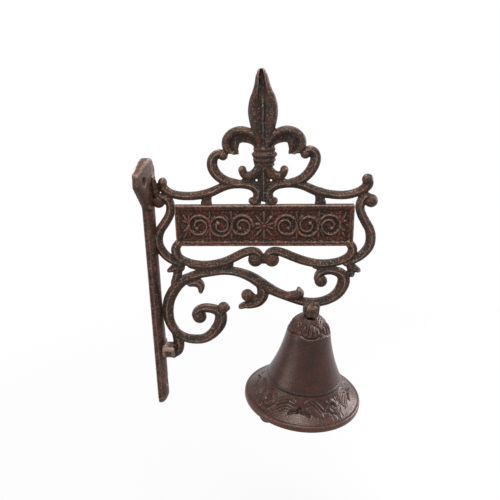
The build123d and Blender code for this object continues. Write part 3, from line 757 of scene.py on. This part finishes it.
def crown_relief(angle, rise):
    """Shells of wavy ridges round the crown, with arcs over each and a scalloped rim under them. Rise runs
    from 0 at the crown's foot to 1 at its top."""
    period = 2 * math.pi / CROWN_REPEATS
    across = ((angle + period / 2) % period - period / 2) / (period / 2)
    shell = np.hypot(across / 0.84, (rise - 0.50) / 0.27)    # 0 in a shell's middle and 1 at its edge
    waves = np.cos(2 * math.pi * (2.9 * across * (1.2 - 0.4 * rise) + 0.2 * np.sin(11 * rise + 3 * across)))
    height = (0.75 + 0.5 * waves) * np.clip(1 - shell ** 2, 0, 1) ** 0.4
    height -= 0.5 * np.exp(-((shell - 1.1) / 0.1) ** 2) * (rise < 0.5)
    upper = np.clip((rise - 0.46) / 0.1, 0, 1)
    for ring, strength in ((1.28, 0.7), (1.62, 0.6), (1.95, 0.4)):
        height += strength * upper * np.exp(-((shell - ring) / 0.11) ** 2)
    between = np.clip(np.abs(across) - 0.6, 0, 1) * np.clip(1 - np.abs(rise - 0.4) / 0.3, 0, 1)
    height += 0.9 * between * np.cos(26 * rise + 11 * across)
    rim = 0.17 - 0.035 * np.cos(math.pi * across) + 0.006 * np.sin(9 * angle)
    below_shell = 0.45 + 0.55 * np.cos(math.pi * across / 2)
    height += 0.5 * below_shell * np.exp(-((rise - rim) / 0.04) ** 2)
    height -= 0.5 * below_shell * np.exp(-((rise - rim - 0.08) / 0.03) ** 2)
    return (height - 0.25) * np.clip((0.97 - rise) / 0.08, 0, 1) * np.clip(rise / 0.12, 0, 1)


def raise_relief(piece, strength):
    """Moves the outer wall's points along their normals by the height of the ornament there."""
    mesh = piece.data
    spots, normals = places_and_normals(mesh)
    radius = np.hypot(spots[:, 0], spots[:, 1])
    angle = np.arctan2(spots[:, 0], -spots[:, 1])
    height = spots[:, 2]
    outer = (normals[:, 0] * spots[:, 0] + normals[:, 1] * spots[:, 1] > 0) | (height > CROWN_TOP)
    edge_radius, edge_height = WAIST_EDGE
    skirt = outer & (radius > edge_radius + 0.05) & (height < edge_height + 0.1) & (height > SKIRT_FOOT)
    crown = outer & (height > CROWN_FOOT)
    down = np.hypot(radius - edge_radius, height - edge_height)
    lift = np.zeros(len(spots))
    lift[skirt] = skirt_relief(angle[skirt], down[skirt])
    lift[crown] += crown_relief(angle[crown], (height[crown] - CROWN_FOOT) / (BELL_HEIGHT - CROWN_FOOT))
    lift *= strength * np.clip((BELL_HEIGHT - 0.2 - height) / 1.5, 0, 1)
    spots += normals * lift[:, None]
    mesh.vertices.foreach_set("co", (spots * MM).ravel())
    mesh.update()


def bell_body(tilt, relief):
    """The bell turned from its profile by spin, with its ornament raised, hung under its boss."""
    profile = [(0, BELL_HEIGHT), *bell_profile(), (0, BELL_CEILING)]
    piece = new_piece("bell_casting", [(r * MM, 0, h * MM) for r, h in profile], [])
    work = bmesh.new()
    work.from_mesh(piece.data)
    work.verts.ensure_lookup_table()
    for first, second in zip(work.verts[:-1], work.verts[1:]):
        work.edges.new((first, second))
    work.to_mesh(piece.data)
    work.free()
    activate(piece)
    bpy.ops.object.mode_set(mode="EDIT")
    bpy.ops.mesh.select_all(action="SELECT")
    bpy.ops.mesh.spin(steps=BELL_STEPS, angle=2 * math.pi, center=(0, 0, 0), axis=(0, 0, 1),
                      use_auto_merge=True)
    bpy.ops.mesh.select_all(action="SELECT")
    bpy.ops.mesh.remove_doubles(threshold=0.004 * MM)
    bpy.ops.mesh.normals_make_consistent(inside=False)
    bpy.ops.object.mode_set(mode="OBJECT")
    raise_relief(piece, relief)
    piece.data.shade_smooth()
    seat = Matrix.Translation(Vector(SEAT) * MM)
    hang = seat @ Matrix.Rotation(tilt, 4, "Y") @ Matrix.Translation((0, 0, -BELL_HEIGHT * MM))
    piece.data.transform(hang)
    piece.data.update()
    return piece


# Finishes

def node(tree, kind, inputs=(), **settings):
    """Adds a shader node, with its settings and its inputs: each a value or another node's socket."""
    made = tree.nodes.new(kind)
    for key, value in settings.items():
        setattr(made, key, value)
    for key, value in dict(inputs).items():
        if isinstance(value, bpy.types.NodeSocket):
            tree.links.new(value, made.inputs[key])
        else:
            made.inputs[key].default_value = value
    return made


def mottled_paint(tree, patches, speck, dark, warm, mottle):
    """Two tones of paint in patches, grainy with moulding sand, with painted shade that turns the casting's
    hollows nearly black.
    """
    blotch = node(tree, "ShaderNodeMapRange", {0: patches, 1: 0.36, 2: 0.64, 3: 0.0, 4: 1.0})
    paint = node(tree, "ShaderNodeMix", {0: blotch.outputs[0], 6: dark, 7: warm}, data_type="RGBA")
    shade = node(tree, "ShaderNodeMapRange", {0: speck, 1: 0.0, 2: 1.0, 3: 1.0 - mottle, 4: 1.0 + mottle})
    grained = node(tree, "ShaderNodeMix", {0: 1.0, 6: paint.outputs[2], 7: shade.outputs[0]},
                   data_type="RGBA", blend_type="MULTIPLY")
    relief = node(tree, "ShaderNodeAttribute", attribute_name="relief").outputs["Fac"]
    # Painted shade: hollows, where the relief falls below its surroundings, are mixed towards a near-black
    # brown.
    hollow = node(tree, "ShaderNodeMapRange", {0: relief, 1: -0.1, 2: -1.2, 3: 0.0, 4: 0.9})
    return node(tree, "ShaderNodeMix", {0: hollow.outputs[0], 6: grained.outputs[2], 7: linear("#15100e")},
                data_type="RGBA").outputs[2]


def wear_and_top_light(tree, place, speck, wear):
    """How far the pale paint shows: worn on ridges and in chips, and more on what faces up, where it is
    painted light from above."""
    relief = node(tree, "ShaderNodeAttribute", attribute_name="relief").outputs["Fac"]
    ridge = node(tree, "ShaderNodeMapRange", {0: relief, 1: 0.2, 2: 1.5, 3: 0.0, 4: 1.0})
    facing = node(tree, "ShaderNodeSeparateXYZ", {0: node(tree, "ShaderNodeNewGeometry").outputs["Normal"]})
    # Painted light: upward faces get more of the pale paint, as if lit from above.
    top_light = node(tree, "ShaderNodeMapRange", {0: facing.outputs["Z"], 1: -0.4, 2: 0.8, 3: 0.25, 4: 1.0})
    flecks = node(tree, "ShaderNodeTexNoise",
                  {"Vector": place, "Scale": 1 / (PAINT_CHIP * MM), "Detail": 2.0})
    chip = node(tree, "ShaderNodeMapRange", {0: flecks.outputs[0], 1: 0.56, 2: 0.68, 3: 0.0, 4: 0.45})
    patchy = node(tree, "ShaderNodeMath", {0: speck, 1: 0.75, 2: 0.25}, operation="MULTIPLY_ADD")
    # Ridge wear and chips are both scaled by that painted light, so they show most on upward faces.
    top_ridge = node(tree, "ShaderNodeMath", {0: ridge.outputs[0], 1: top_light.outputs[0]},
                     operation="MULTIPLY")
    rubbed = node(tree, "ShaderNodeMath", {0: top_ridge.outputs[0], 1: patchy.outputs[0]},
                  operation="MULTIPLY")
    chips_and_ridges_top_lit = node(tree, "ShaderNodeMath", {0: chip.outputs[0], 1: top_light.outputs[0], 2: rubbed.outputs[0]},
                   operation="MULTIPLY_ADD")
    return node(tree, "ShaderNodeMath", {0: chips_and_ridges_top_lit.outputs[0], 1: wear}, operation="MULTIPLY",
                use_clamp=True).outputs[0]


def painted_iron(name, dark, warm, worn_and_top_lit, roughness=(0.38, 0.60), grain=1.0, pits=0.16, swell=0.12,
                 wear=1.0, mottle=0.55, gloss=0.32):
    """Sand-cast iron under a thin antique brown paint, so it is blotchy and grainy, rubbed lighter on its
    ridges, and only faintly glossy, with a warm tint from the varnish. Painted shade makes its hollows nearly
    black, and painted light makes what faces up paler.

    Moulding sand leaves pits 0.2 to 0.5 mm wide. The grain is drawn about 1 mm wide, because finer pits
    wouldn't show. Grain, pits (their depth) and swell (the height of the skin's slow waves) are in mm."""
    material = bpy.data.materials.new(name)
    material.use_nodes = True
    tree = material.node_tree
    shader = tree.nodes["Principled BSDF"]
    shader.inputs["Specular IOR Level"].default_value = gloss
    shader.inputs["Specular Tint"].default_value = linear("#fff0e7")
    place = node(tree, "ShaderNodeTexCoord").outputs["Object"]
    patches = node(tree, "ShaderNodeTexNoise",
                   {"Vector": place, "Scale": 1 / (PAINT_PATCH * MM), "Detail": 4.0}).outputs[0]
    sand = node(tree, "ShaderNodeTexNoise",
                {"Vector": place, "Scale": 1 / (grain * MM), "Detail": 3.0}).outputs[0]
    speck = node(tree, "ShaderNodeMapRange", {0: sand, 1: 0.34, 2: 0.66, 3: 0.0, 4: 1.0}).outputs[0]
    paint = mottled_paint(tree, patches, speck, dark, warm, mottle)
    share = wear_and_top_light(tree, place, speck, wear)
    # The pale paint marks real wear on ridges and in chips, and painted light on what faces up.
    colour = node(tree, "ShaderNodeMix", {0: share, 6: paint, 7: worn_and_top_lit}, data_type="RGBA")
    dull = node(tree, "ShaderNodeMapRange", {0: sand, 1: 0.3, 2: 0.7, 3: roughness[0], 4: roughness[1]})
    rolling = node(tree, "ShaderNodeBump", {"Distance": swell * MM, "Strength": 1.0, "Height": patches})
    rough = node(tree, "ShaderNodeBump", {"Distance": pits * MM, "Strength": 1.0, "Height": sand,
                                          "Normal": rolling.outputs[0]})
    tree.links.new(colour.outputs[2], shader.inputs["Base Color"])
    tree.links.new(dull.outputs[0], shader.inputs["Roughness"])
    tree.links.new(rough.outputs[0], shader.inputs["Normal"])
    return material


def bracket_iron(colours):
    """The scrolls were left as cast, so their skin is the roughest and most mottled."""
    return painted_iron("painted_cast_iron_bracket", colours.hollow_paint, colours.bracket_paint,
                        colours.worn_and_top_lit_paint, pits=0.34, mottle=0.8)


def plate_iron(colours):
    """The plate's broad faces are smoother, with finer pits. Its paint is lighter than the scrolls': painted
    light, for the light that its head catches from above.
    """
    return painted_iron("painted_cast_iron_plate", linear("#2c1b16"), colours.plate_paint_lit,
                        colours.worn_and_top_lit_paint, pits=0.22, mottle=0.6)


def panel_iron(colours):
    """The panel's sunk field kept a coarser sand grain and a redder, duller paint."""
    return painted_iron("painted_cast_iron_panel", linear("#2c1711"), colours.panel_paint,
                        colours.worn_and_top_lit_paint, grain=1.2, pits=0.42, mottle=0.9, gloss=0.24)


def bell_iron(colours):
    """The bell was fettled smooth and varnished, so it is finer, redder and glossier than the bracket, with
    a soft sheen down its waist and small glints on its skirt."""
    return painted_iron("painted_cast_iron_bell", linear("#280f0b"), colours.bell_paint, linear("#97664f"),
                        roughness=(0.22, 0.40), grain=0.9, pits=0.22, wear=0.36, mottle=0.6, gloss=0.44)


def dark_iron():
    """The clapper's bare iron has darkened inside the bell, with a thin brown rust and few bright spots."""
    return painted_iron("dark_cast_iron_clapper", linear("#191412"), linear("#2a201c"), linear("#5c4c44"),
                        pits=0.10)


def browned_steel():
    """Drawn steel wire that rust has browned, with a dull grey sheen left on what rubs, paler still on what
    faces up, which is painted light. Rust grains of 0.1 to 0.3 mm are drawn 0.5 mm wide, so that they show."""
    material = painted_iron("browned_steel", linear("#3a322d"), linear("#5a4436"), linear("#8f867c"),
                            grain=0.5, pits=0.04, swell=0.02, roughness=(0.32, 0.5), mottle=0.3)
    material.node_tree.nodes["Principled BSDF"].inputs["Metallic"].default_value = 0.6
    return material


# Settings

def length_property(name, description, size):
    """A length with its default given in mm."""
    return bpy.props.FloatProperty(name=name, description=description, default=size * MM, min=0.0,
                                   unit="LENGTH", precision=5)


def colour_property(name, description, hex_colour):
    return bpy.props.FloatVectorProperty(name=name, description=description, default=linear(hex_colour),
                                         subtype="COLOR", size=4, min=0.0, max=1.0)


class WallBellSettings(bpy.types.PropertyGroup):
    panel_length: length_property("Panel length", "Length of the panel along the bracket", 138.6)
    panel_height: length_property("Panel height", "Height of the panel", 33.0)
    panel_depth: length_property("Panel depth", "Thickness of the panel, front to back", 6.0)
    panel_rail: length_property("Panel rail", "Width of the raised rail round the field", 2.4)
    panel_recess: length_property("Panel recess", "Depth of the sunk field behind the rail", 1.5)
    bell_tilt: bpy.props.FloatProperty(
        name="Bell tilt", description="Lean of the bell towards the wall", default=math.radians(4.4),
        unit="ROTATION")
    bell_relief: bpy.props.FloatProperty(
        name="Bell relief", description="Height of the bell's ornament, 1 as cast", default=1.0,
        subtype="FACTOR", min=0.0, max=2.0)
    casting_grain: length_property("Casting grain", "Voxel that melts the scrolls into one skin", 0.5)
    panel_grain: length_property("Panel grain", "Voxel that melts the panel and its scroll", 0.42)
    plate_grain: length_property("Plate grain", "Voxel that softens the wall plate's edges", 0.55)
    bracket_paint: colour_property("Bracket paint", "Brown paint of the scrolls", "#4c2e22")
    hollow_paint: colour_property("Dark paint", "Darker patches of the scrolls' paint", "#1f1c18")
    # Lighter than the scrolls' paint, as painted light for the light that the plate's head catches.
    plate_paint_lit: colour_property("Plate paint", "Brown paint of the wall plate", "#53342a")
    panel_paint: colour_property("Panel paint", "Reddish paint of the panel", "#572b1f")
    bell_paint: colour_property("Bell paint", "Reddish brown paint of the bell", "#3f1a13")
    # Also used as painted light: more of it shows on upward faces.
    worn_and_top_lit_paint: colour_property("Worn paint", "Pale paint rubbed thin on ridges", "#d0b09e")
    lamp_power: bpy.props.FloatProperty(
        name="Lamp power", description="Power of the main lamp", default=7.8, unit="POWER")


# Operators

class WALLBELL_OT_scrollwork(bpy.types.Operator):
    """Scrolls, finial and bosses of the bracket, as one cast skin"""
    bl_idname = "wallbell.scrollwork"
    bl_label = "Scrollwork"

    def execute(self, context):
        settings = context.scene.wall_bell
        strokes = finial() + top_scrolls() + side_scrolls() + bell_arm() + wall_scroll() + leaves()
        piece = join("scrollwork", strokes + bosses(settings.bell_tilt))
        as_casting(piece, settings.casting_grain, *SOFT_SCROLLS)
        finish_piece(piece, "wall_bracket", "bracket_iron", bracket_iron(settings), "scroll_bracket")
        return {"FINISHED"}


class WALLBELL_OT_panel(bpy.types.Operator):
    """Panel with its rail, sunk field and leaf scroll"""
    bl_idname = "wallbell.panel"
    bl_label = "Panel"

    def execute(self, context):
        settings = context.scene.wall_bell
        depth = settings.panel_depth / MM
        piece = join("panel", panel_body(settings) + vine(depth) + palmette(depth))
        as_casting(piece, settings.panel_grain, *SOFT_PANEL)
        finish_piece(piece, "wall_bracket", "bracket_iron", panel_iron(settings), "scroll_bracket")
        return {"FINISHED"}


class WALLBELL_OT_wall_plate(bpy.types.Operator):
    """Bar and ridged head that screw to the wall"""
    bl_idname = "wallbell.wall_plate"
    bl_label = "Wall plate"

    def execute(self, context):
        settings = context.scene.wall_bell
        piece = plate_body()
        as_casting(piece, settings.plate_grain, *SOFT_PLATE)
        soften_plate(piece)
        finish_piece(piece, "wall_bracket", "bracket_iron", plate_iron(settings), "scroll_bracket")
        return {"FINISHED"}


class WALLBELL_OT_bell(bpy.types.Operator):
    """Bell with its leaf ornament"""
    bl_idname = "wallbell.bell"
    bl_label = "Bell"

    def execute(self, context):
        settings = context.scene.wall_bell
        piece = bell_body(settings.bell_tilt, settings.bell_relief)
        finish_piece(piece, "wall_bracket", "bell_iron", bell_iron(settings), "bell")
        return {"FINISHED"}


class WALLBELL_OT_hanger(bpy.types.Operator):
    """Eye screw, washer, nut, link and clapper"""
    bl_idname = "wallbell.hanger"
    bl_label = "Hanger and clapper"

    def execute(self, context):
        steel = browned_steel()
        for name, body, grain in (("eye_screw", "wall_bracket", STEEL_GRAIN),
                                  ("washer", "wall_bracket", STEEL_GRAIN),
                                  ("nut", "wall_bracket", STEEL_GRAIN), ("clapper_link", "link", LINK_GRAIN)):
            piece = copy_of_node(name, name + "_steel")
            as_casting(piece, grain * MM, *SOFT_STEEL)
            finish_piece(piece, body, "hanger_steel", steel, name)
        clapper = copy_of_node("clapper", "clapper_casting")
        as_casting(clapper, CLAPPER_GRAIN * MM, *SOFT_CLAPPER)
        finish_piece(clapper, "clapper", "clapper_iron", dark_iron(), "clapper")
        return {"FINISHED"}


class WALLBELL_OT_stage(bpy.types.Operator):
    """White floor and studio, lamps and camera"""
    bl_idname = "wallbell.stage"
    bl_label = "Stage"

    def execute(self, context):
        white_floor()
        white_studio()
        power = context.scene.wall_bell.lamp_power
        lamp("top_lamp", (0.12, -0.22, 0.95), 0.55, power)
        lamp("left_lamp", (-0.72, -0.46, 0.30), 0.40, power * 0.28)
        lamp("right_lamp", (0.78, 0.30, 0.25), 0.40, power * 0.62)
        photo_camera()
        context.scene.view_settings.view_transform = "Standard"
        return {"FINISHED"}


# Stage

def camera_sees(tree):
    """1 where a camera, a reflection or glass looks at the stage, 0 where it only lights the object."""
    path = node(tree, "ShaderNodeLightPath")
    seen = node(tree, "ShaderNodeMath", {0: path.outputs["Is Camera Ray"], 1: path.outputs["Is Glossy Ray"]},
                operation="MAXIMUM")
    return node(tree, "ShaderNodeMath", {0: seen.outputs[0], 1: path.outputs["Is Transmission Ray"]},
                operation="MAXIMUM").outputs[0]


def white_floor():
    """A plain pale floor that shows white, a little less so near the object, where it keeps a soft shadow."""
    bpy.ops.mesh.primitive_plane_add(size=8, location=FLOOR_PLACE)
    floor = bpy.context.object
    floor.name = "floor"
    material = bpy.data.materials.new("pale_floor")
    material.use_nodes = True
    tree = material.node_tree
    matt = tree.nodes["Principled BSDF"]
    matt.inputs["Base Color"].default_value = linear("#f4f4f4")
    matt.inputs["Roughness"].default_value = 1.0
    glow = node(tree, "ShaderNodeEmission", {"Color": (1, 1, 1, 1), "Strength": 1.0})
    place = node(tree, "ShaderNodeTexCoord").outputs["Object"]
    shift = node(tree, "ShaderNodeVectorMath", {0: place, 1: FLOOR_PLACE}, operation="DISTANCE")
    clear = node(tree, "ShaderNodeMapRange",
                 {0: shift.outputs["Value"], 1: 0.15, 2: 0.75, 3: 0.82, 4: 1.0})
    share = node(tree, "ShaderNodeMath", {0: camera_sees(tree), 1: clear.outputs[0]}, operation="MULTIPLY")
    both = node(tree, "ShaderNodeMixShader", {0: share.outputs[0], 1: matt.outputs[0], 2: glow.outputs[0]})
    tree.links.new(both.outputs[0], tree.nodes["Material Output"].inputs["Surface"])
    floor.data.materials.append(material)


def white_studio():
    """An even white surround: white to the eye, softer as a light."""
    world = bpy.data.worlds.new("studio")
    world.use_nodes = True
    tree = world.node_tree
    background = tree.nodes["Background"]
    background.inputs["Color"].default_value = (1, 1, 1, 1)
    strength = node(tree, "ShaderNodeMapRange",
                    {0: camera_sees(tree), 1: 0.0, 2: 1.0, 3: SURROUND_LIGHT, 4: 1.0})
    tree.links.new(strength.outputs[0], background.inputs["Strength"])
    bpy.context.scene.world = world


def lamp(name, place, size, power):
    """A soft square lamp that faces the object."""
    bpy.ops.object.light_add(type="AREA", location=place)
    light = bpy.context.object
    light.name = name
    light.data.size = size
    light.data.energy = power
    light.rotation_euler = (Vector(OBJECT_MIDDLE) - light.location).to_track_quat("-Z", "Y").to_euler()


def photo_camera():
    """The camera, at the photograph's own place and angle."""
    camera_data = bpy.data.cameras.new("camera")
    camera = bpy.data.objects.new("camera", camera_data)
    bpy.context.scene.collection.objects.link(camera)
    azimuth, pitch, roll = (math.radians(angle) for angle in (CAMERA_AZIMUTH, CAMERA_PITCH, CAMERA_ROLL))
    right = Vector((math.cos(azimuth), math.sin(azimuth), 0))
    ahead = Vector((-math.sin(azimuth) * math.cos(pitch), math.cos(azimuth) * math.cos(pitch),
                    -math.sin(pitch)))
    level = right * math.cos(roll) + right.cross(ahead) * math.sin(roll)
    turned = Matrix((level, level.cross(ahead), -ahead)).transposed().to_4x4()
    camera.matrix_world = Matrix.Translation(CAMERA_PLACE) @ turned
    camera_data.sensor_width = SENSOR_WIDTH
    camera_data.lens = SENSOR_WIDTH * FOCAL_PIXELS / FRAME_PIXELS
    camera_data.clip_start = 0.01
    bpy.context.scene.camera = camera


class WALLBELL_PT_panel(bpy.types.Panel):
    """Lists the settings and the steps that build the wall bell"""
    bl_label = "Wall Bell"
    bl_idname = "WALLBELL_PT_panel"
    bl_space_type = "VIEW_3D"
    bl_region_type = "UI"
    bl_category = "Wall Bell"

    def draw(self, context):
        for key in WallBellSettings.__annotations__:
            self.layout.prop(context.scene.wall_bell, key)
        for step in STEPS:
            self.layout.operator(step.bl_idname)


STEPS = (WALLBELL_OT_scrollwork, WALLBELL_OT_panel, WALLBELL_OT_wall_plate, WALLBELL_OT_bell,
         WALLBELL_OT_hanger, WALLBELL_OT_stage)
CLASSES = (WallBellSettings, *STEPS, WALLBELL_PT_panel)


def register():
    for cls in CLASSES:
        bpy.utils.register_class(cls)
    bpy.types.Scene.wall_bell = bpy.props.PointerProperty(type=WallBellSettings)


def unregister():
    del bpy.types.Scene.wall_bell
    for cls in reversed(CLASSES):
        bpy.utils.unregister_class(cls)


def main():
    register()
    bpy.ops.wallbell.scrollwork()
    bpy.ops.wallbell.panel()
    bpy.ops.wallbell.wall_plate()
    bpy.ops.wallbell.bell()
    bpy.ops.wallbell.hanger()
    bpy.ops.wallbell.stage()


if __name__ == "__main__":
    main()
